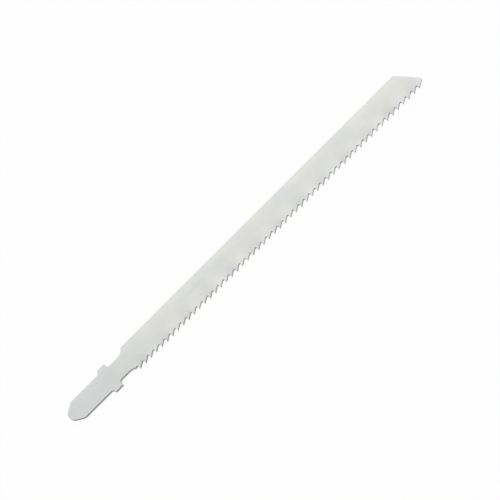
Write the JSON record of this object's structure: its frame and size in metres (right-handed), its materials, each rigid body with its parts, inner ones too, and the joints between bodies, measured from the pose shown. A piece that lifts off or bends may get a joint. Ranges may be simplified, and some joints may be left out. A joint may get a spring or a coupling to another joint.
{
  "type": "jigsaw blade",
  "caption": "Long jigsaw blade for metal: a flat steel strip with a T-shank, fine milled teeth in a wavy set, and a slanted free end.",
  "frame": {"origin": "on the shank's centreline and the sheet's mid-plane, level with the lugs' shoulders that face the body", "axes": "+Y from the free end towards the tang, which goes into the holder first, +X towards the spine with the teeth on the -X side, +Z square to the flat face"},
  "size_m": [0.0084, 0.132, 0.0012],
  "materials": {
    "steel": "bright satin tool steel, finely ground along the blade"
  },
  "bodies": {
    "root": {"blade": "steel"}
  },
  "joints": []
}
